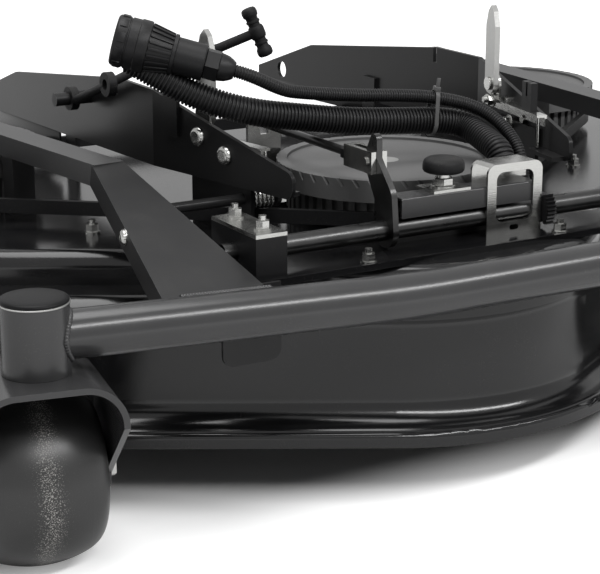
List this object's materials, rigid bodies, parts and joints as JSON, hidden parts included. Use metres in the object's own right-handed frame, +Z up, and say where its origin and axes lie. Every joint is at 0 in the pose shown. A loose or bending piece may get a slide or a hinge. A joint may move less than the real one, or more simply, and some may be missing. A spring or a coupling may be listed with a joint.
{
  "type": "lawn mower deck",
  "caption": "Front mower deck: pressed steel shell with belt-driven blades under it, carried by a bent tube frame on swivel casters, with side plates, height shaft and hoses.",
  "frame": {"origin": "on the floor under the middle of the deck's bounding box", "axes": "+Z up, +Y to the rear, towards the machine, +X across the deck"},
  "size_m": [1.42, 1.025, 0.4915],
  "materials": {
    "shell_paint": "gloss",
    "frame_paint": "satin",
    "zinc": "satin",
    "steel": "satin",
    "cast": "satin",
    "black_plastic": "matte",
    "grey_plastic": "satin",
    "black_rubber": "matte",
    "tyre_rubber": "matte"
  },
  "bodies": {
    "deck": {"arm_posts": "frame_paint", "bearing_blocks": "black_plastic", "bearing_plates": "zinc", "bumper_plate": "zinc", "cross_plate": "shell_paint", "deck_brackets": "frame_paint", "deck_shell": "shell_paint", "drive_belt": "black_rubber", "flange_nuts": "zinc", "front_tube": "frame_paint", "guard_channel": "shell_paint", "hose_entry": "black_plastic", "latch_brackets": "zinc", "latch_posts": "black_plastic", "latch_wires": "zinc", "left_arm": "frame_paint", "left_pivot_housing": "frame_paint", "left_side_plate": "frame_paint", "pivot_caps": "black_plastic", "plug": "black_plastic", "plug_holder": "frame_paint", "plug_nut": "black_plastic", "right_arm": "frame_paint", "right_pivot_housing": "frame_paint", "right_side_plate": "frame_paint", "rod_guide": "zinc", "rubber_bumper": "black_rubber", "rubber_strap": "black_rubber", "side_plate_bolts": "zinc", "spindle_housings": "cast", "strap_peg": "steel", "tension_rod": "zinc", "tension_spring": "zinc", "thick_hose": "black_plastic", "thin_hose": "black_plastic", "window_bracket": "zinc"},
    "left_caster": {"left_fork": "frame_paint", "left_axle": "zinc"},
    "left_wheel": {"left_tyre": "tyre_rubber", "left_hub": "black_plastic"},
    "right_caster": {"right_fork": "frame_paint", "right_axle": "zinc"},
    "right_wheel": {"right_tyre": "tyre_rubber", "right_hub": "black_plastic"},
    "centre_spindle": {"centre_spindle": "steel", "centre_pulley": "grey_plastic", "centre_blade": "steel"},
    "left_spindle": {"left_spindle": "steel", "left_pulley": "grey_plastic", "left_blade": "steel"},
    "right_spindle": {"right_spindle": "steel", "right_pulley": "grey_plastic", "right_blade": "steel"},
    "height_shaft": {"height_shaft": "steel", "index_sector": "grey_plastic"},
    "push_rod": {"clevis": "zinc", "push_rod": "zinc"},
    "left_latch": {"left_latch_lever": "zinc"},
    "right_latch": {"right_latch_lever": "zinc"}
  },
  "joints": [
    {"name": "left_swivel", "type": "hinge", "parent": "deck", "child": "left_caster", "pos_m": [-0.534, -0.4245, 0.242], "axis": [0, 0, 1], "continuous": true},
    {"name": "left_roll", "type": "hinge", "parent": "left_caster", "child": "left_wheel", "pos_m": [-0.52541, -0.38033, 0.09], "axis": [0.9816, -0.1908, 0], "continuous": true},
    {"name": "right_swivel", "type": "hinge", "parent": "deck", "child": "right_caster", "pos_m": [0.534, -0.4245, 0.242], "axis": [0, 0, 1], "continuous": true},
    {"name": "right_roll", "type": "hinge", "parent": "right_caster", "child": "right_wheel", "pos_m": [0.52541, -0.38033, 0.09], "axis": [0.9816, 0.1908, 0], "continuous": true},
    {"name": "centre_spin", "type": "hinge", "parent": "deck", "child": "centre_spindle", "pos_m": [0, -0.1975, 0.22], "axis": [0, 0, 1], "continuous": true},
    {"name": "left_spin", "type": "hinge", "parent": "deck", "child": "left_spindle", "pos_m": [-0.424, 0.15, 0.22], "axis": [0, 0, 1], "continuous": true},
    {"name": "right_spin", "type": "hinge", "parent": "deck", "child": "right_spindle", "pos_m": [0.424, 0.15, 0.22], "axis": [0, 0, 1], "continuous": true},
    {"name": "height_turn", "type": "hinge", "parent": "deck", "child": "height_shaft", "pos_m": [0, -0.3605, 0.2755], "axis": [1, 0, 0], "range_deg": [-10, 10]},
    {"name": "rod_pivot", "type": "hinge", "parent": "height_shaft", "child": "push_rod", "pos_m": [-0.104, -0.3325, 0.3455], "axis": [1, 0, 0], "range_deg": [-10, 10]},
    {"name": "left_latch_turn", "type": "hinge", "parent": "deck", "child": "left_latch", "pos_m": [-0.19787, -0.1309, 0.372], "axis": [-0.9841, -0.1775, 0], "range_deg": [0, 40]},
    {"name": "right_latch_turn", "type": "hinge", "parent": "deck", "child": "right_latch", "pos_m": [0.19787, -0.1309, 0.372], "axis": [-0.9841, 0.1775, 0], "range_deg": [0, 40]}
  ],
  "couplings": [
    {"joint": "left_spin", "follows": "centre_spin", "ratio": 1},
    {"joint": "right_spin", "follows": "centre_spin", "ratio": 1},
    {"joint": "rod_pivot", "follows": "height_turn", "ratio": -1}
  ]
}
